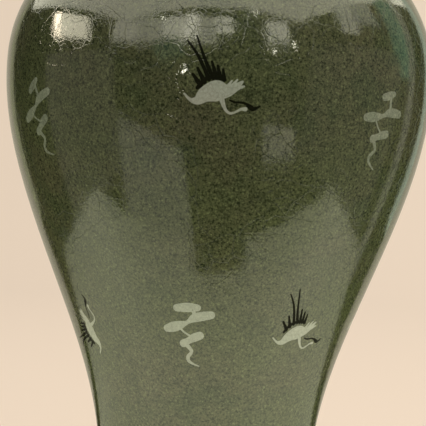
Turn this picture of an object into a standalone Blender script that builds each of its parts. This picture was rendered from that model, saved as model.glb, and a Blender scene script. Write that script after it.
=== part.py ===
"""A celadon prunus vase (maebyeong) with inlaid cranes and clouds.

Units are metres and +Z is up. The origin is at the centre of the foot, on the surface that the
vase stands on, and the front faces -Y. The clay is thrown in sections and luted together with
slip: foot ring, lower body, upper body and neck. Each inlay is a thin slab of white or black
clay in a pocket carved into the wall, just under the level of the outer surface.
"""

import math

import bmesh
import bpy
from mathutils import Vector
from mathutils.geometry import delaunay_2d_cdt

MM = 0.001

# Driving dimensions
HEIGHT = 0.350
BELLY_RADIUS = 0.1074
BELLY_Z = 0.250
WAIST_RADIUS = 0.0542
WAIST_Z = 0.052
FOOT_RADIUS = 0.0600
WALL = 0.006
SEGMENTS = 48
GAP = 0.0003  # clearance between neighbouring pieces
SLIP = 0.0006  # thickness of the slip in a luted joint

# Shoulder: radius = belly * cos(a), height = rise * sin(a) ** SHOULDER_POWER
SHOULDER_RISE = 0.082
SHOULDER_POWER = 2 / 2.3
SHOULDER_END_RADIUS = 0.032
SHOULDER_END = math.acos(SHOULDER_END_RADIUS / BELLY_RADIUS)
SHOULDER_TOP_Z = BELLY_Z + SHOULDER_RISE * math.sin(SHOULDER_END) ** SHOULDER_POWER

# Neck and mouth
NECK_RADIUS = 0.0250
NECK_CURVE = 0.0040
LIP_RADIUS = 0.0310
LIP_ROLL = 0.0026
BORE_RADIUS = 0.0190
BORE_FLARE = 0.0070

# Luted joints and the floor
BODY_JOINT_Z = 0.178
FOOT_JOINT_Z = 0.010
FOOT_RING_WIDTH = 0.009
FOOT_BEVEL = 0.8 * MM
FLOOR = 0.008
FLOOR_CORNER = 0.010

# Inlays
INLAY_SINK = 0.15 * MM  # below the outer surface
INLAY_DEPTH = 0.9 * MM
GRID = 10.0  # spacing, in mm, of the cuts that let an inlay follow the curve of the wall
BLUNT = 1.0  # half width, in mm, from which a stroke's end is rounded
CUTTER_RISE = 3 * MM  # how far a pocket's cutter stands out of the wall
LINE_WIDTH = 1.2 * MM
NECK_LINE_ANGLE = math.acos(0.044 / BELLY_RADIUS)
NECK_LINE_Z = BELLY_Z + SHOULDER_RISE * math.sin(NECK_LINE_ANGLE) ** SHOULDER_POWER
FOOT_LINE_Z = 0.028
END_ROW = 0.014  # from a joint or an inlaid line to the next row of points up the wall

# Strokes of the motifs, as (across, up, half width) in mm from the motif's centre
CRANE_WHITE = (
    ((-12.3, -0.5, 0.35), (-9.7, -2.9, 0.75), (-6.8, -3.0, 1.9), (-3.6, -0.6, 3.2),
     (1.0, 1.0, 4.2), (5.2, 1.1, 2.6), (8.6, 2.8, 1.6), (11.2, 5.0, 0.5)),
    ((7.0, 1.6, 1.0), (9.8, 2.4, 0.8), (11.9, 3.2, 0.4)),
    ((5.2, 2.8, 0.7), (6.9, 5.2, 0.35)),
    ((7.2, 3.4, 0.7), (9.1, 5.7, 0.35)),
    ((2.7, -1.3, 1.2), (4.6, -6.1, 0.65), (6.8, -7.8, 0.5), (9.3, -7.0, 0.45),
     (11.2, -6.0, 0.55), (13.0, -5.9, 0.85)),
)
CRANE_PLUMES = (
    ((-6.9, 1.9, 0.8), (-4.6, 4.8, 0.9), (-1.6, 6.3, 0.9), (1.4, 6.4, 0.9), (4.1, 5.4, 0.7)),
    ((-2.4, 5.4, 0.9), (-4.9, 10.8, 0.75), (-7.6, 15.7, 0.6), (-11.5, 20.9, 0.35)),
    ((-0.6, 6.0, 0.9), (-2.8, 10.2, 0.8), (-4.9, 15.2, 0.6), (-7.8, 22.8, 0.35)),
    ((-5.7, 3.0, 1.1), (-8.9, 7.3, 0.6)),
    ((-4.2, 4.4, 1.1), (-7.1, 9.8, 0.55)),
    ((0.8, 6.0, 1.0), (-1.4, 12.5, 0.5)),
    ((2.2, 6.0, 1.0), (1.0, 11.0, 0.55)),
    ((3.8, 5.4, 0.9), (3.2, 9.6, 0.5)),
)
CRANE_BEAK = (
    ((6.4, -2.6, 0.35), (8.6, -3.3, 0.45), (11.2, -3.3, 0.45), (13.4, -3.9, 0.6),
     (15.2, -5.2, 1.1), (16.6, -5.6, 0.8), (19.0, -4.4, 0.3)),
)
CLOUD_TAIL = (
    ((1.6, 12.6, 0.8), (3.0, 8.0, 0.8)),
    ((9.8, 8.3, 1.8), (6.0, 7.6, 2.1), (2.6, 6.6, 1.9), (-0.2, 4.6, 0.9), (-3.4, 3.2, 1.9),
     (-6.4, 2.2, 2.3), (-9.2, 1.3, 1.8)),
    ((-3.4, 1.6, 0.45), (-1.4, -0.2, 0.4), (1.6, -2.0, 0.5)),
    ((5.2, -1.3, 1.9), (2.6, -2.4, 1.9), (0.2, -3.8, 1.5), (-2.2, -5.2, 1.8)),
    ((-1.0, -5.6, 1.0), (1.5, -8.7, 0.8), (-0.2, -11.4, 0.9), (0.2, -13.4, 0.75),
     (2.6, -14.8, 0.45), (5.0, -15.6, 0.3)),
)
CLOUDS = {
    "upper": (((-2.4, 11.4, 1.7), (0.4, 12.9, 1.9), (3.0, 14.4, 1.3)), *CLOUD_TAIL),
    "lower": (((-4.4, 11.0, 1.7), (0.0, 11.4, 2.1), (4.0, 11.4, 1.6)), *CLOUD_TAIL),
}

# How each row is drawn: the lean to the right above the back, and the share of the half widths
BACK = 5.0  # height of the crane's back, in mm, above which the plumes lean
CRANE_HANDS = {"upper": (0.0, 1.0), "lower": (0.28, 0.82)}
CLOUD_HANDS = {"upper": (0.0, 0.86), "lower": (0.0, 1.0)}

# Places of the motifs, as (azimuth from the front, height, scale, tilt), in degrees and metres
CRANE_PLACES = {
    "upper": ((-1, 0.2315, 1.0, 0), (88, 0.232, 1.0, 9),
              (178, 0.230, 1.0, -7), (268, 0.232, 1.0, 5)),
    "lower": ((32.5, 0.1295, 0.94, 4), (125, 0.130, 0.94, -6),
              (216, 0.128, 0.94, 8), (308.4, 0.1256, 0.88, 100)),
}
CLOUD_PLACES = {
    "upper": ((42.5, 0.223, 1.12, -12), (133, 0.223, 1.12, -4),
              (223, 0.222, 1.12, 3), (310, 0.2225, 1.12, 9)),
    "lower": ((-7.5, 0.130, 1.0, 0), (79, 0.129, 1.0, 4),
              (171, 0.130, 1.0, -3), (262, 0.130, 1.0, 2)),
}

COLOURS = {
    "celadon": ((0.110, 0.118, 0.066, 1.0), 0.12),
    "white_slip": ((0.46, 0.48, 0.37, 1.0), 0.18),
    "black_slip": ((0.022, 0.024, 0.014, 1.0), 0.18),
    "bare_clay": ((0.33, 0.19, 0.11, 1.0), 0.75),
    "luting_slip": ((0.24, 0.22, 0.17, 1.0), 0.60),
}


def clear_scene():
    for obj in list(bpy.data.objects):
        bpy.data.objects.remove(obj, do_unlink=True)


def material(name):
    found = bpy.data.materials.get(name)
    if found:
        return found
    colour, roughness = COLOURS[name]
    made = bpy.data.materials.new(name)
    made.use_nodes = True
    shader = made.node_tree.nodes["Principled BSDF"]
    shader.inputs["Base Color"].default_value = colour
    shader.inputs["Roughness"].default_value = roughness
    shader.inputs["Metallic"].default_value = 0.0
    made.diffuse_color = colour
    return made


# ---------------------------------------------------------------- the wall's outline

def flank_radius(z):
    """From the waist up to the belly, an S curve that is level at both ends."""
    t = (z - WAIST_Z) / (BELLY_Z - WAIST_Z)
    return WAIST_RADIUS + (BELLY_RADIUS - WAIST_RADIUS) * t * t * (3 - 2 * t)


def flare_radius(z):
    """From the foot up to the waist, a parabola."""
    t = (WAIST_Z - z) / WAIST_Z
    return WAIST_RADIUS + (FOOT_RADIUS - WAIST_RADIUS) * t * t


def shoulder_radius(z):
    rise = (z - BELLY_Z) / SHOULDER_RISE
    return BELLY_RADIUS * math.cos(math.asin(rise ** (1 / SHOULDER_POWER)))


def outer_radius(z):
    if z < WAIST_Z:
        return flare_radius(z)
    if z < BELLY_Z:
        return flank_radius(z)
    return shoulder_radius(z)


def outline_normal(z):
    """(outward, upward) unit normal of the wall at this height."""
    step = 0.2 * MM
    slope = (outer_radius(z + step) - outer_radius(z - step)) / (2 * step)
    length = math.hypot(1, slope)
    return 1 / length, -slope / length


def wall_point(z, depth=0.0):
    """(radius, height) of the point this far inside the outer surface."""
    outward, upward = outline_normal(z)
    return outer_radius(z) - depth * outward, z - depth * upward


def surface_point(azimuth, z, depth):
    """The point under the outer surface at an azimuth in degrees, 0 at the front and + to +X."""
    radius, height = wall_point(z, depth)
    angle = math.radians(azimuth)
    return Vector((radius * math.sin(angle), -radius * math.cos(angle), height))


def heights(low, high, count):
    return [low + (high - low) * i / (count - 1) for i in range(count)]


def shoulder_heights(count):
    """Heights up the shoulder, evenly spaced in the angle of its curve."""
    angles = [SHOULDER_END * i / count for i in range(1, count + 1)]
    return [BELLY_Z + SHOULDER_RISE * math.sin(a) ** SHOULDER_POWER for a in angles]


def arc(centre_r, centre_z, radius, start, end, count):
    """Points (radius, height) on an arc; angles in degrees from +R towards +Z."""
    points = []
    for i in range(count):
        angle = math.radians(start + (end - start) * i / (count - 1))
        points.append((centre_r + radius * math.cos(angle), centre_z + radius * math.sin(angle)))
    return points


# ---------------------------------------------------------------- turned pieces

def finish_mesh(name, bm, colour):
    bmesh.ops.remove_doubles(bm, verts=bm.verts, dist=1e-6)
    bmesh.ops.recalc_face_normals(bm, faces=bm.faces)
    mesh = bpy.data.meshes.new(name)
    bm.to_mesh(mesh)
    bm.free()
    mesh.materials.append(material(colour))
    mesh.shade_smooth()
    mesh.set_sharp_from_angle(angle=math.radians(35))
    obj = bpy.data.objects.new(name, mesh)
    bpy.context.scene.collection.objects.link(obj)
    return obj


def turned(name, outline, colour):
    """A solid of revolution about Z from a closed outline of (radius, height) points."""
    bm = bmesh.new()
    verts = [bm.verts.new((radius, 0.0, height)) for radius, height in outline]
    edges = []
    for i, vert in enumerate(verts):
        after = verts[(i + 1) % len(verts)]
        if vert.co.x > 1e-9 or after.co.x > 1e-9:
            edges.append(bm.edges.new((vert, after)))
    bmesh.ops.spin(
        bm, geom=verts + edges, cent=(0, 0, 0), axis=(0, 0, 1), angle=2 * math.pi,
        steps=SEGMENTS, use_merge=True,
    )
    return finish_mesh(name, bm, colour)


def band(z, half, top, bottom):
    """Four points of a shallow rectangle across the wall's surface, from its lower edge up."""
    outward, upward = outline_normal(z)
    points = []
    for along, depth in ((-half, top), (-half, bottom), (half, bottom), (half, top)):
        edge_z = z + along * outward
        points.append((outer_radius(edge_z) - depth * outward, edge_z - depth * upward))
    return points


def groove(z):
    return band(z, LINE_WIDTH / 2 + GAP, 0.0, INLAY_DEPTH + GAP)


def foot_ring():
    top = FOOT_JOINT_Z - GAP
    inner = FOOT_RADIUS - FOOT_RING_WIDTH
    outline = [(outer_radius(z), z) for z in (top, top / 2, FOOT_BEVEL)]
    outline += [(FOOT_RADIUS - FOOT_BEVEL, 0.0), (inner + FOOT_BEVEL, 0.0)]
    outline += [(inner, FOOT_BEVEL), (inner, top)]
    return turned("foot_ring", outline, "bare_clay")


def lower_body():
    low = FOOT_JOINT_Z + SLIP + GAP
    high = BODY_JOINT_Z - GAP
    floor = low + FLOOR
    outer = [wall_point(low)] + groove(FOOT_LINE_Z)
    outer += [wall_point(z) for z in heights(FOOT_LINE_Z + END_ROW, high, 12)]
    inner = [(outer_radius(high) - WALL, high)]
    inner += [wall_point(z, WALL) for z in heights(high - END_ROW, floor + END_ROW, 6)]
    wall_radius = inner[-1][0]
    inner += arc(wall_radius - FLOOR_CORNER, floor + FLOOR_CORNER, FLOOR_CORNER, 0, -90, 3)
    outline = outer + inner + [(0.0, floor), (0.0, low)]
    return turned("lower_body", outline, "celadon")


def neck_fillet():
    """(radius, centre radius, centre height) of the hollow curve from the shoulder into the neck."""
    outward, upward = outline_normal(SHOULDER_TOP_Z - MM)
    radius = (SHOULDER_END_RADIUS - NECK_RADIUS) / (1 - outward)
    return radius, NECK_RADIUS + radius, SHOULDER_TOP_Z + radius * upward


def upper_body():
    low = BODY_JOINT_Z + SLIP + GAP
    radius, centre_r, centre_z = neck_fillet()
    high = centre_z - GAP
    rising = [z for z in shoulder_heights(9) if z < NECK_LINE_Z - 2 * LINE_WIDTH]
    outer = [wall_point(z) for z in heights(low, BELLY_Z, 7) + rising]
    outer += groove(NECK_LINE_Z)
    outer += arc(centre_r, centre_z, radius, -102, -168, 3)
    outer.append((NECK_RADIUS, high))
    inner = [(BORE_RADIUS, high), (BORE_RADIUS, SHOULDER_TOP_Z - 0.3 * WALL)]
    inner += [wall_point(z, WALL) for z in reversed(shoulder_heights(7)[:-1])]
    inner += [wall_point(z, WALL) for z in heights(BELLY_Z, low + END_ROW, 4)]
    inner.append((outer_radius(low) - WALL, low))
    return turned("upper_body", outer + inner, "celadon")


def neck_collar():
    low = neck_fillet()[2] + SLIP + GAP
    outline = [(NECK_RADIUS, low)]
    outline += arc(NECK_RADIUS + NECK_CURVE, low + MM, NECK_CURVE, 180, 110, 3)
    outline += arc(LIP_RADIUS - LIP_ROLL, HEIGHT - LIP_ROLL, LIP_ROLL, -70, 150, 5)
    outline += arc(BORE_RADIUS + BORE_FLARE, low + MM, BORE_FLARE, 110, 180, 2)
    outline.append((BORE_RADIUS, low))
    return turned("neck_collar", outline, "celadon")


def slip_ring(name, z, inner, outer):
    near, far = inner + GAP, outer - GAP
    outline = [(near, z), (far, z), (far, z + SLIP), (near, z + SLIP)]
    return turned(name, outline, "luting_slip")


def line_ring(name, z):
    return turned(name, band(z, LINE_WIDTH / 2, INLAY_SINK, INLAY_DEPTH), "white_slip")


# ---------------------------------------------------------------- inlays

def stroke_outline(points, grow):
    """A closed outline, anticlockwise, round a stroke of varying half width, with rounded ends."""
    left, right = [], []
    for i, (u, v, half) in enumerate(points):
        before = points[max(i - 1, 0)]
        after = points[min(i + 1, len(points) - 1)]
        length = math.hypot(after[0] - before[0], after[1] - before[1])
        du, dv = (after[0] - before[0]) / length, (after[1] - before[1]) / length
        reach = half + grow
        left.append((u - dv * reach, v + du * reach))
        right.append((u + dv * reach, v - du * reach))
        if i == 0 and half >= BLUNT:
            right.insert(0, (u - du * reach, v - dv * reach))
        if i == len(points) - 1 and half >= BLUNT:
            right.append((u + du * reach, v + dv * reach))
    return right + left[::-1]


def flat_motif(keep, remove=()):
    """A flat mesh, in the motif's mm, of the strokes to keep less those to remove.

    What is removed is grown by the gap that neighbouring pieces keep.
    """
    flat = merged_strokes([stroke_outline(stroke, 0.0) for stroke in keep],
                          [stroke_outline(stroke, GAP / MM) for stroke in remove])
    cut_into_grid(flat)
    bmesh.ops.triangulate(flat, faces=flat.faces)
    return flat


def flat_pocket(strokes):
    """The flat mesh of a pocket, a gap wider than the strokes that it holds."""
    flat = merged_strokes([stroke_outline(stroke, GAP / MM) for stroke in strokes])
    bmesh.ops.triangulate(flat, faces=flat.faces)
    return flat


def merged_strokes(keep, remove=()):
    """A flat mesh of the outlines to keep, joined where they overlap, less those to remove."""
    points, faces = [], []
    for outline in [*keep, *remove]:
        faces.append(list(range(len(points), len(points) + len(outline))))
        points += [Vector(point) for point in outline]
    points, _, triangles, _, _, sources = delaunay_2d_cdt(points, [], faces, 0, 1e-4)
    flat = bmesh.new()
    verts = [flat.verts.new((point.x, point.y, 0.0)) for point in points]
    for triangle, source in zip(triangles, sources):
        if source and max(source) < len(keep):
            flat.faces.new([verts[i] for i in triangle])
    bmesh.ops.delete(flat, geom=[v for v in verts if not v.link_faces], context="VERTS")
    bmesh.ops.dissolve_limit(flat, angle_limit=0.01, verts=flat.verts, edges=flat.edges)
    return flat


def cut_into_grid(flat):
    """Cuts along lines GRID apart, so that the motif can follow the curve of the wall."""
    for axis in (Vector((1, 0, 0)), Vector((0, 1, 0))):
        reach = max(abs(vert.co.dot(axis)) for vert in flat.verts)
        count = math.floor(reach / GRID)
        for i in range(-count, count + 1):
            geometry = flat.verts[:] + flat.edges[:] + flat.faces[:]
            bmesh.ops.bisect_plane(flat, geom=geometry, plane_co=axis * i * GRID, plane_no=axis)


def on_wall(point, place):
    """(azimuth, height) on the wall of a point of a motif at its place."""
    azimuth, height, scale, tilt = place
    tilt = math.radians(tilt)
    u, v = point.x * scale * MM, point.y * scale * MM
    across = u * math.cos(tilt) - v * math.sin(tilt)
    up = u * math.sin(tilt) + v * math.cos(tilt)
    return azimuth + math.degrees(across / outer_radius(height)), height + up


def slab(name, flat, place, top, bottom, colour):
    """A slab that follows the wall, between two depths under its surface."""
    bm = bmesh.new()
    spots = [on_wall(vert.co, place) for vert in flat.verts]
    flat.verts.index_update()
    upper = [bm.verts.new(surface_point(*spot, top)) for spot in spots]
    lower = [bm.verts.new(surface_point(*spot, bottom)) for spot in spots]
    for face in flat.faces:
        indices = [vert.index for vert in face.verts]
        bm.faces.new([upper[i] for i in indices])
        bm.faces.new([lower[i] for i in reversed(indices)])
    for edge in flat.edges:
        if edge.is_boundary:
            a, b = (vert.index for vert in edge.verts)
            bm.faces.new((upper[a], upper[b], lower[b], lower[a]))
    return finish_mesh(name, bm, colour)


def carve(body, flats_and_places):
    """Cuts one pocket in the wall for each motif, a gap wider and deeper than what it holds."""
    for index, (flat, place) in enumerate(flats_and_places, 1):
        cutter = slab(
            f"{body.name}_cutter_{index}", flat, place, -CUTTER_RISE, INLAY_DEPTH + GAP, "bare_clay"
        )
        cutter.hide_render = True
        cutter.display_type = "WIRE"
        modifier = body.modifiers.new(f"pocket_{index}", "BOOLEAN")
        modifier.operation = "DIFFERENCE"
        modifier.solver = "EXACT"
        modifier.object = cutter


def drawn(strokes, lean, girth):
    """The strokes with whatever is above the back leaning, and with their widths scaled."""
    return tuple(
        tuple((u + lean * max(v - BACK, 0.0), v, half * girth) for u, v, half in stroke)
        for stroke in strokes
    )


def add_cranes(row):
    """The row's cranes, and a pocket with its place for each."""
    white, plumes, beak = (
        drawn(strokes, *CRANE_HANDS[row]) for strokes in (CRANE_WHITE, CRANE_PLUMES, CRANE_BEAK)
    )
    pieces = (
        ("body", flat_motif(white), "white_slip"),
        ("plumes", flat_motif(plumes, remove=white), "black_slip"),
        ("beak", flat_motif(beak, remove=white), "black_slip"),
    )
    for number, place in enumerate(CRANE_PLACES[row], 1):
        for part, flat, colour in pieces:
            name = f"{row}_crane_{number}_{part}"
            slab(name, flat, place, INLAY_SINK, INLAY_DEPTH, colour)
    pocket = flat_pocket(white + plumes + beak)
    return [(pocket, place) for place in CRANE_PLACES[row]]


def add_clouds(row):
    """The row's clouds, and a pocket with its place for each."""
    strokes = drawn(CLOUDS[row], *CLOUD_HANDS[row])
    flat = flat_motif(strokes)
    for number, place in enumerate(CLOUD_PLACES[row], 1):
        slab(f"{row}_cloud_{number}", flat, place, INLAY_SINK, INLAY_DEPTH, "white_slip")
    pocket = flat_pocket(strokes)
    return [(pocket, place) for place in CLOUD_PLACES[row]]


def main():
    clear_scene()
    foot_ring()
    neck_collar()
    bodies = {"lower": lower_body(), "upper": upper_body()}
    foot_inner = FOOT_RADIUS - FOOT_RING_WIDTH
    body_outer = outer_radius(BODY_JOINT_Z)
    slip_ring("luting_slip_foot", FOOT_JOINT_Z, foot_inner, outer_radius(FOOT_JOINT_Z))
    slip_ring("luting_slip_body", BODY_JOINT_Z, body_outer - WALL, body_outer)
    slip_ring("luting_slip_neck", neck_fillet()[2], BORE_RADIUS, NECK_RADIUS)
    line_ring("foot_line", FOOT_LINE_Z)
    line_ring("neck_line", NECK_LINE_Z)
    for row, body in bodies.items():
        carve(body, add_cranes(row) + add_clouds(row))


main()
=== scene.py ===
"""The looks of the inlaid celadon vase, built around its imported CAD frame.

Units are metres in the frame of the CAD model: +Z up, the foot's centre at the origin, and the
front towards -Y. The clay sections and the inlays are rebuilt at a finer scale than the CAD
solids that they stand for. A point on the wall is given by its azimuth in degrees, 0 at the front
and positive towards +X, its height, and its depth under the outer surface.
"""

import math

import bmesh
import bpy
from mathutils import Matrix, Vector, noise
from mathutils.geometry import delaunay_2d_cdt


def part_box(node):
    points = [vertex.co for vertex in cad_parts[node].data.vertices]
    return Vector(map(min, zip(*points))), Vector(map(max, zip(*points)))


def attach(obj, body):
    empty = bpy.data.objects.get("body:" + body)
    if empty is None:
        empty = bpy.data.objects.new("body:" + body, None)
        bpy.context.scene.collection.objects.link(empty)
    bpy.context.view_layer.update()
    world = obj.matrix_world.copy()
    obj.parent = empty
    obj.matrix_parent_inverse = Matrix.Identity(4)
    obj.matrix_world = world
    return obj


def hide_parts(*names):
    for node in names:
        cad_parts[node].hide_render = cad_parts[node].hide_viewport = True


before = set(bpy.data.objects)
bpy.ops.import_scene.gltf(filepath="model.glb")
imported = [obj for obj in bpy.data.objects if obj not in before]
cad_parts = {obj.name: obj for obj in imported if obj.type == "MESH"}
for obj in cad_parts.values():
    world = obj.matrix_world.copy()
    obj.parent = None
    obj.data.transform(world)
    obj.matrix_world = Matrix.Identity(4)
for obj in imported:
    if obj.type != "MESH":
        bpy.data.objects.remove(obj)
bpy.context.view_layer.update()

MM = 0.001

# ---------------------------------------------------------------- sizes, from the CAD frame

INSET = 0.06 * MM  # keeps the finer skin inside the CAD model's box
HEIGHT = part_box("neck_collar")[1].z - INSET
BELLY_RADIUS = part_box("upper_body")[1].x - INSET
FOOT_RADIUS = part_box("foot_ring")[1].x
LIP_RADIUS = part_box("neck_collar")[1].x
FOOT_JOINT_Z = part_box("foot_ring")[1].z
BODY_JOINT_Z = (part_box("lower_body")[1].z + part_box("upper_body")[0].z) / 2
NECK_JOINT_Z = (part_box("upper_body")[1].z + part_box("neck_collar")[0].z) / 2
BELLY_Z = 0.7143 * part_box("neck_collar")[1].z
WAIST_RADIUS = 0.505 * BELLY_RADIUS
WAIST_Z = 0.052
NECK_RADIUS = 0.0250
NECK_CURVE = 0.0040
BORE_RADIUS = 0.0190
BORE_FLARE = 0.0070
LIP_ROLL = 0.0026
WALL = 0.006
FLOOR_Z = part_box("lower_body")[0].z + 0.008
FLOOR_CORNER = 0.012
FOOT_RING_WIDTH = 0.009
FOOT_BEVEL = 0.9 * MM
GLAZE_STEP = 0.25 * MM  # how far the bare foot stands back from the glazed wall over it
SHOULDER_RISE = 0.082
SHOULDER_POWER = 2 / 2.3
SHOULDER_END_RADIUS = 0.032
SHOULDER_END = math.acos(SHOULDER_END_RADIUS / BELLY_RADIUS)
SHOULDER_TOP_Z = BELLY_Z + SHOULDER_RISE * math.sin(SHOULDER_END) ** SHOULDER_POWER
NECK_LINE_Z = sum(corner.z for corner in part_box("neck_line")) / 2
FOOT_LINE_Z = sum(corner.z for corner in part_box("foot_line")) / 2

AROUND = 192  # points round each turned piece
ROW = 1.6 * MM  # spacing of the rows of points up the wall
RIPPLE = 0.16 * MM  # unevenness of the thrown wall
PROUD = 0.02 * MM  # an inlay's top stands this far over the wall
INLAY_DEPTH = 0.8 * MM
GRID = 2.5  # spacing, in mm, of the cuts that let an inlay follow the wall
LINE_WIDTH = 1.2 * MM
THINNEST = 0.15  # least half width of a stroke, in mm


# ---------------------------------------------------------------- the wall

def outer_radius(z):
    """The radius of the outer wall at this height, from the foot to the top of the shoulder."""
    if z < WAIST_Z:
        t = (WAIST_Z - z) / WAIST_Z
        return WAIST_RADIUS + (FOOT_RADIUS - WAIST_RADIUS) * t * t
    if z < BELLY_Z:
        t = (z - WAIST_Z) / (BELLY_Z - WAIST_Z)
        return WAIST_RADIUS + (BELLY_RADIUS - WAIST_RADIUS) * t * t * (3 - 2 * t)
    rise = min((z - BELLY_Z) / SHOULDER_RISE, 0.9999)
    return BELLY_RADIUS * math.cos(math.asin(rise ** (1 / SHOULDER_POWER)))


def outline_normal(z):
    """(outward, upward) unit normal of the wall at this height."""
    step = 0.2 * MM
    slope = (outer_radius(z + step) - outer_radius(z - step)) / (2 * step)
    length = math.hypot(1, slope)
    return 1 / length, -slope / length


def wall_point(z, depth=0.0):
    """(radius, height) of the point this deep under the outer wall."""
    outward, upward = outline_normal(z)
    return outer_radius(z) - depth * outward, z - depth * upward


def ripple(angle, z):
    """How far the hand-thrown wall lies under its true outline, from 0 to RIPPLE."""
    spot = Vector((2.2 * math.sin(angle), 2.2 * math.cos(angle), z / 0.045))
    rings = math.sin(z / 0.0016 + angle) * 0.06
    return RIPPLE * min(max(0.5 + 0.55 * noise.noise(spot) + rings, 0.0), 1.0)


def surface_point(azimuth, z, depth):
    """The point this deep under the rippled outer surface."""
    angle = math.radians(azimuth)
    radius, height = wall_point(z, depth + ripple(angle, z))
    return Vector((radius * math.sin(angle), -radius * math.cos(angle), height))


def surface_normal(azimuth, z):
    here = surface_point(azimuth, z, 0.0)
    aside = surface_point(azimuth + 0.2, z, 0.0) - here
    above = surface_point(azimuth, z + 0.3 * MM, 0.0) - here
    return aside.cross(above).normalized()


def heights(low, high, step):
    """Evenly spaced values from low to high, about a step apart."""
    count = max(2, round((high - low) / step) + 1)
    return [low + (high - low) * i / (count - 1) for i in range(count)]


def arc(centre_r, centre_z, radius, start, end, count):
    """Points (radius, height) on an arc between two angles in degrees, both included."""
    points = []
    for i in range(count):
        angle = math.radians(start + (end - start) * i / (count - 1))
        points.append((centre_r + radius * math.cos(angle), centre_z + radius * math.sin(angle)))
    return points


# ---------------------------------------------------------------- turned pieces

def link(name, mesh, replaced, finish):
    """Adds a piece of the vase in place of the CAD nodes that it stands for."""
    mesh.materials.append(finish)
    obj = bpy.data.objects.new(name, mesh)
    bpy.context.scene.collection.objects.link(obj)
    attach(obj, "root")
    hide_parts(*replaced)


def turned_mesh(name, rows):
    """A closed mesh of revolution. Each row is (radius, height, share of the ripple)."""
    bm = bmesh.new()
    rings = []
    for radius, height, share in rows:
        if radius < 1e-6:
            rings.append([bm.verts.new((0.0, 0.0, height))])
            continue
        ring = []
        for i in range(AROUND):
            angle = 2 * math.pi * i / AROUND
            reach = radius - share * ripple(angle, height)
            ring.append(bm.verts.new((reach * math.sin(angle), -reach * math.cos(angle), height)))
        rings.append(ring)
    for below, above in zip(rings, rings[1:] + rings[:1]):
        if len(below) == 1 and len(above) == 1:
            continue
        for i in range(AROUND):
            j = (i + 1) % AROUND
            corners = [below[i % len(below)], below[j % len(below)],
                       above[j % len(above)], above[i % len(above)]]
            unique = list(dict.fromkeys(corners))
            if len(unique) > 2:
                bm.faces.new(unique)
    bmesh.ops.recalc_face_normals(bm, faces=bm.faces)
    mesh = bpy.data.meshes.new(name)
    bm.to_mesh(mesh)
    bm.free()
    mesh.shade_smooth()
    mesh.set_sharp_from_angle(angle=math.radians(50))
    return mesh


def rows_of(points):
    """Rows with none of the ripple."""
    return [(radius, height, 0.0) for radius, height in points]


def lower_rows():
    corner_z = FLOOR_Z + FLOOR_CORNER
    outer = [(*wall_point(z), 1.0) for z in heights(FOOT_JOINT_Z, BODY_JOINT_Z, ROW)]
    inner = [(*wall_point(z, WALL), 1.0) for z in heights(corner_z, BODY_JOINT_Z, 3 * ROW)]
    inner[-1] = (outer_radius(BODY_JOINT_Z) - WALL, BODY_JOINT_Z, 1.0)
    corner = arc(inner[0][0] - FLOOR_CORNER, corner_z, FLOOR_CORNER, 0, -90, 9)
    base_z = FOOT_JOINT_Z + 0.5 * MM
    under = [(0.0, base_z), (0.030, base_z), (FOOT_RADIUS - 0.011, base_z)]
    floor = [(0.030, FLOOR_Z), (0.015, FLOOR_Z + 0.6 * MM), (0.0, FLOOR_Z + 0.8 * MM)]
    return outer + inner[::-1] + rows_of(corner[1:]) + rows_of(floor) + rows_of(under)


def neck_fillet():
    """(radius, centre radius, centre height) of the curve from the shoulder into the neck."""
    outward, upward = outline_normal(SHOULDER_TOP_Z - MM)
    radius = (SHOULDER_END_RADIUS - NECK_RADIUS) / (1 - outward)
    return radius, NECK_RADIUS + radius, SHOULDER_TOP_Z + radius * upward


def upper_rows():
    radius, centre_r, centre_z = neck_fillet()
    outer = [(*wall_point(z), 1.0) for z in heights(BODY_JOINT_Z, BELLY_Z, ROW)]
    angles = heights(0.0, SHOULDER_END, math.radians(0.9))[1:]
    rising = [BELLY_Z + SHOULDER_RISE * math.sin(a) ** SHOULDER_POWER for a in angles]
    outer += [(*wall_point(z), 1.0) for z in rising]
    outer += rows_of(arc(centre_r, centre_z, radius, -104, -178, 12))
    outer.append((NECK_RADIUS, NECK_JOINT_Z, 0.0))
    inner = rows_of([(BORE_RADIUS, NECK_JOINT_Z), (BORE_RADIUS + MM, SHOULDER_TOP_Z - 0.4 * WALL)])
    falling = heights(BODY_JOINT_Z + 3 * MM, BELLY_Z, 3 * ROW)[::-1]
    inner += [(*wall_point(z, WALL), 1.0) for z in rising[-6::-4] + falling]
    inner.append((outer_radius(BODY_JOINT_Z) - WALL, BODY_JOINT_Z, 1.0))
    return outer + inner


def neck_rows():
    low = NECK_JOINT_Z
    outline = [(NECK_RADIUS, low)]
    outline += arc(NECK_RADIUS + NECK_CURVE, low + MM, NECK_CURVE, 180, 112, 9)
    outline += arc(LIP_RADIUS - LIP_ROLL, HEIGHT - LIP_ROLL, LIP_ROLL, -75, 150, 17)
    outline += arc(BORE_RADIUS + BORE_FLARE, low + MM, BORE_FLARE, 110, 180, 9)
    outline.append((BORE_RADIUS, low))
    return rows_of(outline)


def foot_rows():
    inner = FOOT_RADIUS - FOOT_RING_WIDTH
    rising = heights(FOOT_BEVEL, FOOT_JOINT_Z, MM)
    outline = [(outer_radius(z) - GLAZE_STEP, z) for z in rising[::-1]]
    outline += arc(FOOT_RADIUS - GLAZE_STEP - FOOT_BEVEL, FOOT_BEVEL, FOOT_BEVEL, 0, -90, 5)
    outline += arc(inner + FOOT_BEVEL, FOOT_BEVEL, FOOT_BEVEL, -90, -180, 5)
    outline.append((inner + 0.3 * MM, FOOT_JOINT_Z))
    return rows_of(outline)


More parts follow.
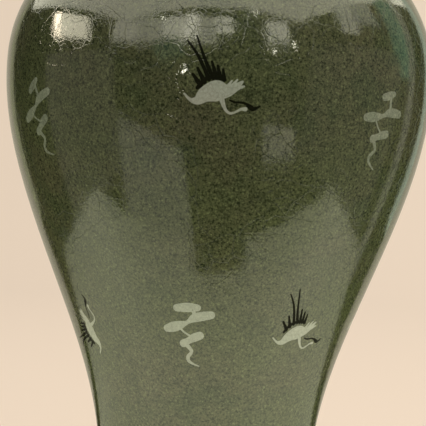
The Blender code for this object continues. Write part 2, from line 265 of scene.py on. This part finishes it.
def band_rows(z):
    """An inlaid line round the wall, slightly crowned."""
    outward, upward = outline_normal(z)
    rows = []
    for along in (-0.5, -0.45, 0.0, 0.45, 0.5):
        crown = PROUD if abs(along) < 0.5 else 0.0
        rows.append((*wall_point(z + along * LINE_WIDTH * outward, -crown), 1.0))
    for along in (0.5, -0.5):
        rows.append((*wall_point(z + along * LINE_WIDTH * outward, INLAY_DEPTH), 1.0))
    return rows


# ---------------------------------------------------------------- inlays

# Strokes of the motifs, as (across, up, half width) in mm from the motif's centre
CRANE_WHITE = (
    ((-12.3, -0.5, 0.35), (-9.7, -2.9, 0.75), (-6.8, -3.0, 1.9), (-3.6, -0.6, 3.2),
     (1.0, 1.0, 4.2), (5.2, 1.1, 2.6), (8.6, 2.8, 1.6), (11.2, 5.0, 0.5)),
    ((7.0, 1.6, 1.0), (9.8, 2.4, 0.8), (11.9, 3.2, 0.4)),
    ((5.2, 2.8, 0.7), (6.9, 5.2, 0.35)),
    ((7.2, 3.4, 0.7), (9.1, 5.7, 0.35)),
    ((2.7, -1.3, 1.2), (4.6, -6.1, 0.65), (6.8, -7.8, 0.5), (9.3, -7.0, 0.45),
     (11.2, -6.0, 0.55), (13.0, -5.9, 0.85)),
)
CRANE_PLUMES = (
    ((-6.9, 1.9, 0.8), (-4.6, 4.8, 0.9), (-1.6, 6.3, 0.9), (1.4, 6.4, 0.9), (4.1, 5.4, 0.7)),
    ((-2.4, 5.4, 0.9), (-4.9, 10.8, 0.75), (-7.6, 15.7, 0.6), (-11.5, 20.9, 0.35)),
    ((-0.6, 6.0, 0.9), (-2.8, 10.2, 0.8), (-4.9, 15.2, 0.6), (-7.8, 22.8, 0.35)),
    ((-5.7, 3.0, 1.1), (-8.9, 7.3, 0.6)),
    ((-4.2, 4.4, 1.1), (-7.1, 9.8, 0.55)),
    ((0.8, 6.0, 1.0), (-1.4, 12.5, 0.5)),
    ((2.2, 6.0, 1.0), (1.0, 11.0, 0.55)),
    ((3.8, 5.4, 0.9), (3.2, 9.6, 0.5)),
)
CRANE_BEAK = (
    ((6.4, -2.6, 0.35), (8.6, -3.3, 0.45), (11.2, -3.3, 0.45), (13.4, -3.9, 0.6),
     (15.2, -5.2, 1.1), (16.6, -5.6, 0.8), (19.0, -4.4, 0.3)),
)
CLOUD_TAIL = (
    ((1.6, 12.6, 0.8), (3.0, 8.0, 0.8)),
    ((9.8, 8.3, 1.8), (6.0, 7.6, 2.1), (2.6, 6.6, 1.9), (-0.2, 4.6, 0.9), (-3.4, 3.2, 1.9),
     (-6.4, 2.2, 2.3), (-9.2, 1.3, 1.8)),
    ((-3.4, 1.6, 0.45), (-1.4, -0.2, 0.4), (1.6, -2.0, 0.5)),
    ((5.2, -1.3, 1.9), (2.6, -2.4, 1.9), (0.2, -3.8, 1.5), (-2.2, -5.2, 1.8)),
    ((-1.0, -5.6, 1.0), (1.5, -8.7, 0.8), (-0.2, -11.4, 0.9), (0.2, -13.4, 0.75),
     (2.6, -14.8, 0.45), (5.0, -15.6, 0.3)),
)
CLOUDS = {
    "upper": (((-2.4, 11.4, 1.7), (0.4, 12.9, 1.9), (3.0, 14.4, 1.3)), *CLOUD_TAIL),
    "lower": (((-4.4, 11.0, 1.7), (0.0, 11.4, 2.1), (4.0, 11.4, 1.6)), *CLOUD_TAIL),
}

# How each row is drawn: the lean to the right above the back, and the share of the half widths
BACK = 5.0  # height of the crane's back, in mm, above which the plumes lean
CRANE_HANDS = {"upper": (0.0, 1.0), "lower": (0.28, 0.82)}
CLOUD_HANDS = {"upper": (0.0, 0.86), "lower": (0.0, 1.0)}

# Places of the motifs, as (azimuth from the front, height, scale, tilt), in degrees and metres
CRANE_PLACES = {
    "upper": ((-1, 0.2315, 1.0, 0), (88, 0.232, 1.0, 9),
              (178, 0.230, 1.0, -7), (268, 0.232, 1.0, 5)),
    "lower": ((32.5, 0.1295, 0.94, 4), (125, 0.130, 0.94, -6),
              (216, 0.128, 0.94, 8), (308.4, 0.1256, 0.88, 100)),
}
CLOUD_PLACES = {
    "upper": ((42.5, 0.223, 1.12, -12), (133, 0.223, 1.12, -4),
              (223, 0.222, 1.12, 3), (310, 0.2225, 1.12, 9)),
    "lower": ((-7.5, 0.130, 1.0, 0), (79, 0.129, 1.0, 4),
              (171, 0.130, 1.0, -3), (262, 0.130, 1.0, 2)),
}


def smooth_stroke(points, per_span=4):
    """The points of a Catmull-Rom curve through a stroke's points, half width included."""
    ends = [Vector(points[0]) * 2 - Vector(points[1])]
    ends += [Vector(point) for point in points]
    ends.append(Vector(points[-1]) * 2 - Vector(points[-2]))
    smooth = []
    for a, b, c, d in zip(ends, ends[1:], ends[2:], ends[3:]):
        for step in range(per_span):
            t = step / per_span
            smooth.append(0.5 * (2 * b + (c - a) * t + (2 * a - 5 * b + 4 * c - d) * t ** 2
                                 + (3 * b - a - 3 * c + d) * t ** 3))
    return smooth + [Vector(points[-1])]


def stroke_outline(stroke):
    """A closed anticlockwise outline round a smoothed stroke, with round ends."""
    points = smooth_stroke(stroke)
    left, right = [], []
    for i, point in enumerate(points):
        along = points[min(i + 1, len(points) - 1)] - points[max(i - 1, 0)]
        along = Vector((along.x, along.y)).normalized()
        aside = Vector((-along.y, along.x)) * max(point.z, THINNEST)
        left.append(point.xy + aside)
        right.append(point.xy - aside)
    start, end = points[0], points[-1]
    turns = range(30, 180, 30)
    back = [end.xy + turned_by(right[-1] - end.xy, angle) for angle in turns]
    front = [start.xy + turned_by(left[0] - start.xy, angle) for angle in turns]
    return right + back + left[::-1] + front


def turned_by(vector, degrees):
    return Matrix.Rotation(math.radians(degrees), 2) @ vector


def merged_strokes(keep, remove=()):
    """A flat mesh of the outlines to keep, joined where they overlap, less those to remove."""
    points, faces = [], []
    for outline in [*keep, *remove]:
        faces.append(list(range(len(points), len(points) + len(outline))))
        points += outline
    points, _, triangles, _, _, sources = delaunay_2d_cdt(points, [], faces, 0, 1e-4)
    flat = bmesh.new()
    verts = [flat.verts.new((point.x, point.y, 0.0)) for point in points]
    for triangle, source in zip(triangles, sources):
        if source and max(source) < len(keep):
            flat.faces.new([verts[i] for i in triangle])
    bmesh.ops.delete(flat, geom=[v for v in verts if not v.link_faces], context="VERTS")
    bmesh.ops.dissolve_limit(flat, angle_limit=0.001, verts=flat.verts, edges=flat.edges)
    return flat


def cut_into_grid(flat):
    for axis in (Vector((1, 0, 0)), Vector((0, 1, 0))):
        reach = max(abs(vert.co.dot(axis)) for vert in flat.verts)
        count = math.floor(reach / GRID)
        for i in range(-count, count + 1):
            geometry = flat.verts[:] + flat.edges[:] + flat.faces[:]
            bmesh.ops.bisect_plane(flat, geom=geometry, plane_co=axis * i * GRID, plane_no=axis)


def drawn(strokes, lean, girth):
    """The strokes with whatever is above the back leaning, and with their widths scaled."""
    return tuple(
        tuple((u + lean * max(v - BACK, 0.0), v, half * girth) for u, v, half in stroke)
        for stroke in strokes
    )


def flat_motif(keep, remove=()):
    """A flat mesh of the strokes, cut and triangulated so that it can bend round the wall."""
    flat = merged_strokes([stroke_outline(stroke) for stroke in keep],
                          [stroke_outline(stroke) for stroke in remove])
    cut_into_grid(flat)
    bmesh.ops.triangulate(flat, faces=flat.faces)
    flat.verts.index_update()
    return flat


def on_wall(point, place):
    """(azimuth, height) on the wall of a point of a motif at its place."""
    azimuth, height, scale, tilt = place
    spot = Matrix.Rotation(math.radians(tilt), 2) @ Vector((point.x, point.y)) * scale * MM
    return azimuth + math.degrees(spot.x / outer_radius(height)), height + spot.y


def slab_mesh(name, flat, place):
    """A thin slab that follows the wall. Its top has the wall's own normals."""
    spots = [on_wall(vert.co, place) for vert in flat.verts]
    count = len(spots)
    verts = [surface_point(*spot, -PROUD) for spot in spots]
    verts += [surface_point(*spot, INLAY_DEPTH) for spot in spots]
    faces = [[vert.index for vert in face.verts] for face in flat.faces]
    top_loops = sum(len(face) for face in faces)
    faces += [[i + count for i in reversed(face)] for face in faces[:]]
    for edge in flat.edges:
        if edge.is_boundary:
            loop = edge.link_loops[0]
            a, b = loop.vert.index, loop.link_loop_next.vert.index
            faces.append([b, a, a + count, b + count])
    mesh = bpy.data.meshes.new(name)
    mesh.from_pydata(verts, [], faces)
    mesh.shade_smooth()
    mesh.set_sharp_from_angle(angle=math.radians(40))
    normals = [surface_normal(*spot) for spot in spots]
    loops = [Vector((0, 0, 0))] * len(mesh.loops)
    for i in range(top_loops):
        loops[i] = normals[mesh.loops[i].vertex_index]
    mesh.normals_split_custom_set(loops)
    return mesh


# ---------------------------------------------------------------- materials

class Graph:
    """A material's node graph, built up one node at a time."""

    def __init__(self, name):
        self.material = bpy.data.materials.new(name)
        self.material.use_nodes = True
        self.tree = self.material.node_tree
        self.shader = self.tree.nodes["Principled BSDF"]
        self.place = self.node("ShaderNodeTexCoord").outputs["Object"]

    def node(self, kind, values=None, **settings):
        made = self.tree.nodes.new(kind)
        for key, value in settings.items():
            setattr(made, key, value)
        for key, value in (values or {}).items():
            self.feed(made.inputs[key], value)
        return made

    def feed(self, socket, value):
        if isinstance(value, bpy.types.NodeSocket):
            self.tree.links.new(value, socket)
        else:
            socket.default_value = value

    def math(self, operation, first, second):
        made = self.node("ShaderNodeMath", {0: first, 1: second}, operation=operation)
        return made.outputs[0]

    def noise(self, size, detail=2.0, roughness=0.5):
        """Noise from 0 to 1 whose blotches are about this many metres across."""
        values = {"Vector": self.place, "Scale": 1 / size, "Detail": detail, "Roughness": roughness}
        return self.node("ShaderNodeTexNoise", values).outputs["Fac"]

    def cracks(self, size, width):
        """1 on the lines of a crackle whose cells are this size, falling to 0 over the width."""
        wander = self.node("ShaderNodeTexNoise", {"Vector": self.place, "Scale": 0.7 / size})
        shift = self.node("ShaderNodeVectorMath", {0: wander.outputs["Color"], 1: (0.5, 0.5, 0.5)},
                          operation="SUBTRACT")
        scaled = self.node("ShaderNodeVectorMath", {0: shift.outputs[0], "Scale": 0.9 * size},
                           operation="SCALE")
        place = self.node("ShaderNodeVectorMath", {0: self.place, 1: scaled.outputs[0]},
                          operation="ADD")
        cells = self.node("ShaderNodeTexVoronoi", {"Vector": place.outputs[0], "Scale": 1 / size},
                          feature="DISTANCE_TO_EDGE")
        return self.ramp(cells.outputs["Distance"], width / size, 0.0)

    def ramp(self, value, low, high):
        """0 to 1 as the value goes from low to high, clamped."""
        values = {"Value": value, "From Min": low, "From Max": high}
        return self.node("ShaderNodeMapRange", values, interpolation_type="SMOOTHSTEP").outputs[0]

    def mix(self, share, first, second):
        made = self.node("ShaderNodeMix", data_type="RGBA")
        colours = [socket for socket in made.inputs if socket.type == "RGBA"]
        self.feed(made.inputs["Factor"], share)
        self.feed(colours[0], first)
        self.feed(colours[1], second)
        return [socket for socket in made.outputs if socket.type == "RGBA"][0]

    def bump(self, height, distance, under=None):
        values = {"Height": height, "Distance": distance, "Strength": 1.0}
        if under:
            values["Normal"] = under
        return self.node("ShaderNodeBump", values).outputs["Normal"]

    def finish(self, **sockets):
        for key, value in sockets.items():
            self.feed(self.shader.inputs[key.replace("_", " ")], value)
        return self.material


FINE_CRACK = 1.9 * MM  # width of a cell of the fine crackle
WIDE_CRACK = 9.0 * MM
SPECK = (0.03, 0.022, 0.012, 1.0)  # colour of the iron specks


def shade(colour, factor):
    return [factor * channel for channel in colour[:3]] + [1.0]


def glaze_relief(graph, fine, wide):
    """The normal of the glaze: crackle, pinholes and a slow unevenness."""
    swell = graph.bump(graph.noise(0.010, 1.0), 0.05 * MM)
    pits = graph.ramp(graph.noise(1.2 * MM, 2.0, 0.6), 0.3, 0.7)
    pitted = graph.bump(pits, 0.008 * MM, under=swell)
    crackled = graph.bump(graph.math("SUBTRACT", 1.0, fine), 0.010 * MM, under=pitted)
    return graph.bump(graph.math("SUBTRACT", 1.0, wide), 0.02 * MM, under=crackled)


def glazed(name, light, dark, warm, crackle, speckle, index=1.56):
    """Clear crackled celadon glaze over clay or slip of three mottled tones."""
    graph = Graph(name)
    fine = graph.cracks(FINE_CRACK, 0.18 * MM)
    fine = graph.math("MULTIPLY", fine, graph.ramp(graph.noise(6 * MM, 2.0), 0.35, 0.6))
    wide = graph.cracks(WIDE_CRACK, 0.22 * MM)
    tone = graph.mix(graph.ramp(graph.noise(0.05, 3.0), 0.35, 0.65), light, warm)
    pooled = graph.ramp(graph.noise(0.024, 4.0, 0.6), 0.48, 0.72)
    tone = graph.mix(graph.math("MULTIPLY", pooled, 0.6), tone, dark)
    grains = graph.noise(1.1 * MM, 3.0, 0.8)
    sunk = graph.math("MULTIPLY", graph.ramp(grains, 0.5, 0.36), speckle)
    tone = graph.mix(sunk, tone, shade(dark, 0.35))
    milky = graph.math("MULTIPLY", graph.ramp(grains, 0.54, 0.70), speckle)
    tone = graph.mix(milky, tone, shade(light, 2.1))
    lines = graph.math("MULTIPLY", graph.math("MAXIMUM", fine, wide), crackle)
    tone = graph.mix(lines, tone, shade(dark, 0.25))
    specks = graph.ramp(graph.noise(0.9 * MM, 0.0), 0.83, 0.86)
    tone = graph.mix(graph.math("MULTIPLY", specks, 0.8), tone, SPECK)
    rough = graph.node("ShaderNodeMapRange", {"Value": graph.noise(2.0 * MM, 2.0),
                                              "To Min": 0.015, "To Max": 0.05}).outputs[0]
    return graph.finish(Base_Color=tone, Roughness=rough, IOR=index,
                        Normal=glaze_relief(graph, fine, wide))


def bare_clay():
    """Unglazed stoneware, flushed reddish brown, with pale grit."""
    graph = Graph("bare_clay")
    grain = graph.noise(0.9 * MM, 4.0, 0.7)
    tone = graph.mix(graph.ramp(grain, 0.35, 0.7), (0.33, 0.17, 0.09, 1.0), (0.20, 0.10, 0.055, 1.0))
    flushed = graph.ramp(graph.noise(0.03, 3.0), 0.4, 0.7)
    tone = graph.mix(flushed, tone, (0.40, 0.24, 0.14, 1.0))
    grit = graph.ramp(graph.noise(1.4 * MM, 0.0), 0.72, 0.78)
    tone = graph.mix(grit, tone, (0.62, 0.55, 0.44, 1.0))
    rough = graph.node("ShaderNodeMapRange", {"Value": grain, "To Min": 0.7, "To Max": 0.95})
    return graph.finish(Base_Color=tone, Roughness=rough.outputs[0],
                        Normal=graph.bump(grain, 0.15 * MM))


# ---------------------------------------------------------------- the vase

CELADON = glazed("celadon_glaze", (0.098, 0.112, 0.050, 1.0), (0.056, 0.080, 0.034, 1.0),
                 (0.112, 0.110, 0.058, 1.0), 0.5, 1.0)
WHITE = glazed("white_slip", (0.43, 0.46, 0.36, 1.0), (0.33, 0.37, 0.28, 1.0),
               (0.45, 0.45, 0.36, 1.0), 0.25, 0.2)
THIN_WHITE = glazed("thin_white_slip", (0.29, 0.32, 0.225, 1.0), (0.22, 0.26, 0.17, 1.0),
                    (0.30, 0.31, 0.22, 1.0), 0.4, 0.4)
BLACK = glazed("black_slip", (0.010, 0.012, 0.006, 1.0), (0.007, 0.009, 0.005, 1.0),
               (0.014, 0.012, 0.007, 1.0), 0.2, 0.2, index=1.1)

link("glazed_lower_body", turned_mesh("glazed_lower_body", lower_rows()),
     ("lower_body", "luting_slip_foot"), CELADON)
link("glazed_upper_body", turned_mesh("glazed_upper_body", upper_rows()),
     ("upper_body", "luting_slip_body"), CELADON)
link("glazed_neck", turned_mesh("glazed_neck", neck_rows()),
     ("neck_collar", "luting_slip_neck"), CELADON)
link("clay_foot", turned_mesh("clay_foot", foot_rows()), ("foot_ring",), bare_clay())
for line, line_z in (("neck_line", NECK_LINE_Z), ("foot_line", FOOT_LINE_Z)):
    link(f"inlaid_{line}", turned_mesh(f"inlaid_{line}", band_rows(line_z)),
         (line,), WHITE)


def add_cranes(row):
    """The row's cranes, each of a white body, black plumes and a black beak."""
    white, plumes, beak = (
        drawn(strokes, *CRANE_HANDS[row]) for strokes in (CRANE_WHITE, CRANE_PLUMES, CRANE_BEAK)
    )
    pieces = (
        ("body", flat_motif(white), "white_slip", WHITE),
        ("plumes", flat_motif(plumes, white), "black_slip", BLACK),
        ("beak", flat_motif(beak, white), "black_slip", BLACK),
    )
    for number, place in enumerate(CRANE_PLACES[row], 1):
        for part, flat, slot, finish in pieces:
            node = f"{row}_crane_{number}_{part}"
            link(f"inlaid_{node}", slab_mesh(node, flat, place), (node,), finish)


def add_clouds(row, finish):
    """The row's clouds."""
    flat = flat_motif(drawn(CLOUDS[row], *CLOUD_HANDS[row]))
    for number, place in enumerate(CLOUD_PLACES[row], 1):
        node = f"{row}_cloud_{number}"
        link(f"inlaid_{node}", slab_mesh(node, flat, place), (node,), finish)


for row, cloud_finish in (("upper", THIN_WHITE), ("lower", WHITE)):
    add_cranes(row)
    add_clouds(row, cloud_finish)


# ---------------------------------------------------------------- the studio

def staged(name, mesh, material, **seen_by):
    """Adds a piece of the studio that only the kinds of ray named here see."""
    mesh.materials.append(material)
    obj = bpy.data.objects.new(name, mesh)
    bpy.context.scene.collection.objects.link(obj)
    for ray in ("camera", "diffuse", "glossy", "shadow", "transmission"):
        setattr(obj, f"visible_{ray}", seen_by.get(ray, False))


def glowing(name, colour, strength):
    material = bpy.data.materials.new(name)
    material.use_nodes = True
    shader = material.node_tree.nodes["Principled BSDF"]
    shader.inputs["Base Color"].default_value = (0, 0, 0, 1)
    shader.inputs["Roughness"].default_value = 1.0
    shader.inputs["Specular IOR Level"].default_value = 0.0
    shader.inputs["Emission Color"].default_value = (*colour, 1.0)
    shader.inputs["Emission Strength"].default_value = strength
    return material


def quad(name, corners):
    mesh = bpy.data.meshes.new(name)
    mesh.from_pydata(corners, [], [(0, 1, 2, 3)])
    return mesh


def backdrop():
    """A pale floor that curves up into a wall all round, glowing with painted light that is brighter
    towards +X.
    """
    radius, bend, top = 1.6, 0.7, 2.4
    low = -0.2 * MM
    rows = [(0.0, low), (0.5, low), (1.0, low), (radius, low)]
    rows += arc(radius, low + bend, bend, -90, 0, 13)[1:]
    rows.append((radius + bend, top))
    bm = bmesh.new()
    verts = [bm.verts.new((r, 0.0, z)) for r, z in rows]
    edges = [bm.edges.new(pair) for pair in zip(verts, verts[1:])]
    bmesh.ops.spin(bm, geom=verts + edges, cent=(0, 0, 0), axis=(0, 0, 1), angle=2 * math.pi,
                   steps=64, use_merge=True)
    bmesh.ops.remove_doubles(bm, verts=bm.verts, dist=1e-5)
    bmesh.ops.recalc_face_normals(bm, faces=bm.faces)
    mesh = bpy.data.meshes.new("backdrop")
    bm.to_mesh(mesh)
    bm.free()
    mesh.flip_normals()
    mesh.shade_smooth()
    graph = Graph("backdrop_paper")
    # Painted light: the paper's own glow grows towards +X, standing in for more light falling on it
    # from the right.
    across = graph.node("ShaderNodeSeparateXYZ", {"Vector": graph.place}).outputs["X"]
    painted_light_across = graph.node("ShaderNodeMapRange", {"Value": across, "From Min": -1.0,
                                                 "From Max": 1.0, "To Min": 0.74,
                                                 "To Max": 0.83}).outputs[0]
    graph.finish(Base_Color=(0.30, 0.245, 0.19, 1), Roughness=1.0, Specular_IOR_Level=0.0,
                 Emission_Color=(0.838, 0.685, 0.535, 1), Emission_Strength=painted_light_across)
    staged("backdrop", mesh, graph.material, camera=True)


def direction(azimuth, elevation):
    """The unit vector at this azimuth and elevation, in degrees."""
    a, e = math.radians(azimuth), math.radians(elevation)
    return Vector((math.sin(a) * math.cos(e), -math.cos(a) * math.cos(e), math.sin(e)))


DAYLIGHT = (1.0, 0.97, 0.78)
SUNLIT = (1.0, 0.93, 0.70)
LOW_SUN = (1.0, 0.86, 0.63)
PALE_WALL = (1.0, 0.90, 0.70)
GREEN = (0.42, 1.0, 0.70)
TABLE_LIGHT = (1.0, 0.99, 0.72)

# Window panes, as (from azimuth, to azimuth, from elevation, to elevation, strength)
WINDOWS = (
    (-55, -42, 11, 22, 2.6),
    (-42, -29, 11, 24, 2.0),
    (-29, -17.5, 10, 25, 3.8),
    (-17.5, -11.5, 12, 27, 6.5),
    (-11.5, -2, 11, 26, 2.3),
    (-2, 6, 15, 26, 4.4),
    (22, 33, 12, 25, 4.0),
    (64, 76, 20, 36, 2.2),
    (76, 92, 24, 36, 1.2),
)
# Small bright lamps, as (azimuth, elevation, half width), all in degrees
LAMPS = ((-17, 0, 0.8), (26, 9, 0.45), (36, 12, 0.4), (18, 29, 0.5), (-30, 24, 0.4))
LAMP_STRENGTH = 60.0
PANEL_DISTANCE = 2.0
SEEN_FROM = Vector((0.0, 0.0, BELLY_Z))


def pane(azimuths, elevations):
    """The four corner directions of an upright panel."""
    return [(azimuths[0], elevations[0]), (azimuths[1], elevations[0]),
            (azimuths[1], elevations[1]), (azimuths[0], elevations[1])]


def panel(name, spots, strength, colour=DAYLIGHT):
    """A glowing panel whose corners lie in these directions as seen from the belly."""
    corners = [SEEN_FROM + direction(*spot) * PANEL_DISTANCE for spot in spots]
    staged(name, quad(name, corners), glowing(name, colour, strength), glossy=True)


# The table top's outline (x, y), with a notch where something dark stands against its front
TABLE_OUTLINE = (
    (-0.43, -0.17), (-0.25, -0.225), (-0.055, -0.262), (-0.055, -0.226), (0.085, -0.226),
    (0.085, -0.262), (0.25, -0.245), (0.44, -0.205), (0.44, 0.13), (-0.43, 0.20),
)


def table_sheet():
    """The lit table top as the glaze mirrors it, brightest just in front of the vase."""
    graph = Graph("table_glow")
    depth = graph.node("ShaderNodeSeparateXYZ", {"Vector": graph.place}).outputs["Y"]
    front = graph.node("ShaderNodeMapRange", {"Value": depth, "From Min": -0.26,
                                              "From Max": -0.12, "To Min": 0.65}).outputs[0]
    back = graph.node("ShaderNodeMapRange", {"Value": depth, "From Min": -0.12, "From Max": 0.2,
                                             "To Min": 1.75, "To Max": 0.42}).outputs[0]
    fading = graph.math("MULTIPLY", front, back)
    graph.finish(Base_Color=(0, 0, 0, 1), Roughness=1.0, Specular_IOR_Level=0.0,
                 Emission_Color=(*TABLE_LIGHT, 1), Emission_Strength=fading)
    mesh = bpy.data.meshes.new("table_glow")
    corners = [(x, y, 0.3 * MM) for x, y in TABLE_OUTLINE]
    mesh.from_pydata(corners, [], [tuple(range(len(corners)))])
    staged("table_glow", mesh, graph.material, glossy=True)


def area_light(name, place, target, size, power, colour):
    """A rectangular lamp that lights everything but shows neither itself nor its reflection."""
    light = bpy.data.lights.new(name, "AREA")
    light.shape = "RECTANGLE"
    light.size, light.size_y = size
    light.energy = power
    light.color = colour
    obj = bpy.data.objects.new(name, light)
    obj.location = place
    obj.rotation_mode = "QUATERNION"
    obj.rotation_quaternion = (Vector(target) - Vector(place)).to_track_quat("-Z", "Y")
    bpy.context.scene.collection.objects.link(obj)
    obj.visible_camera = False
    obj.visible_glossy = False


# Lit paper standing behind the vase, which the glaze mirrors along its two sides, as
# (name, left edge, right edge, bottom edge, strength, colour)
PAPER_Y = 0.262
PAPER_TOP = 1.2
PAPERS = (
    ("paper_glow", -0.30, 0.30, 0.0, 0.55, (1.0, 0.90, 0.68)),
    ("paper_left", -0.365, -0.30, 0.10, 0.48, (1.0, 1.0, 0.62)),
    ("paper_right", 0.30, 0.375, 0.10, 0.75, (0.86, 1.0, 0.78)),
)

CEILING_Z = 2.2
CEILING = ((-3.75, -3.1), (2.75, -3.1), (2.75, 3), (-3.75, 3))  # its corners, as (x, y)

# Single panels, as (name, corner directions, strength, colour)
PANELS = (
    ("highlight_left", ((-92.8, 13.3), (-87.5, 13.2), (-93.5, 24.4), (-99, 24)), 17.0, LOW_SUN),
    ("blob_left", ((-87.5, 13.2), (-67, 12), (-71, 23), (-93.5, 24.4)), 6.4, SUNLIT),
    ("column_left", ((-52, -13), (-19, -25), (-11, -50), (-60, -46)), 0.85, DAYLIGHT),
    ("column_right", ((23, -16.7), (40, -17), (44, -25), (26, -27.6)), 1.1, DAYLIGHT),
    ("left_haze", pane((-98, -53), (-27, 8)), 0.35, PALE_WALL),
    ("right_haze", pane((44, 104), (-24, 12)), 0.22, DAYLIGHT),
    ("right_line", pane((112, 119), (-30, 40)), 0.5, DAYLIGHT),
    ("green_left", ((-35, 12), (-18, 13), (-17, 5), (-30, 3)), 0.35, GREEN),
    ("green_right", pane((98, 114), (6, 36)), 0.5, GREEN),
)

# Lamps that the glaze doesn't mirror, as (name, place, target, size, power, colour)
RIGHT_WINDOW = SEEN_FROM + direction(48, 25) * PANEL_DISTANCE
AREA_LIGHTS = (
    ("overhead", (0.2, -0.4, 1.9), (0, 0, 0.15), (1.8, 1.4), 20.0, (1.0, 0.97, 0.92)),
    ("table_bounce", (0, 0.01, 0.5 * MM), (0, 0.01, 1), (0.86, 0.46), 1.5, TABLE_LIGHT),
    ("right_window", RIGHT_WINDOW, (0, 0, 0.2), (1.2, 1.2), 9.0, (1.0, 0.97, 0.90)),
)

backdrop()
table_sheet()
ceiling = quad("ceiling_glow", [(x, y, CEILING_Z) for x, y in CEILING])
staged("ceiling_glow", ceiling, glowing("ceiling_glow", (1.0, 0.97, 0.76), 2.7), glossy=True)
for name, left, right, bottom, strength, colour in PAPERS:
    upright = quad(name, [(left, PAPER_Y, bottom), (right, PAPER_Y, bottom),
                          (right, PAPER_Y, PAPER_TOP), (left, PAPER_Y, PAPER_TOP)])
    staged(name, upright, glowing(name, colour, strength), glossy=True)
for name, spots, strength, colour in PANELS:
    panel(name, spots, strength, colour)
for number, (low, high, bottom, top, strength) in enumerate(WINDOWS, 1):
    panel(f"window_{number}", pane((low, high), (bottom, top)), strength)
panel("streak_left", pane((-79, -72), (-2, 8)), 0.9)
for number, (azimuth, elevation, reach) in enumerate(LAMPS, 1):
    corners = pane((azimuth - reach, azimuth + reach), (elevation - reach, elevation + reach))
    panel(f"lamp_{number}", corners, LAMP_STRENGTH)
for settings in AREA_LIGHTS:
    area_light(*settings)

world = bpy.data.worlds.new("studio_air")
bpy.context.scene.world = world
world.use_nodes = True
air = world.node_tree.nodes["Background"]
air.inputs["Color"].default_value = (1.0, 0.96, 0.90, 1.0)
air.inputs["Strength"].default_value = 0.27
world.cycles_visibility.glossy = False

# ---------------------------------------------------------------- the camera

CAMERA_PLACE = (-0.0005, -0.49, 0.183)
CAMERA_LENS = 80.2  # focal length in mm, on a sensor 36 mm wide
CAMERA_ROLL = 2.23  # degrees

camera_data = bpy.data.cameras.new("camera")
camera_data.sensor_width = 36.0
camera_data.lens = CAMERA_LENS
camera = bpy.data.objects.new("camera", camera_data)
camera.location = CAMERA_PLACE
camera.rotation_euler = (Matrix.Rotation(math.radians(90), 3, "X")
                         @ Matrix.Rotation(math.radians(CAMERA_ROLL), 3, "Z")).to_euler()
bpy.context.scene.collection.objects.link(camera)
bpy.context.scene.camera = camera
bpy.context.scene.view_settings.view_transform = "Standard"
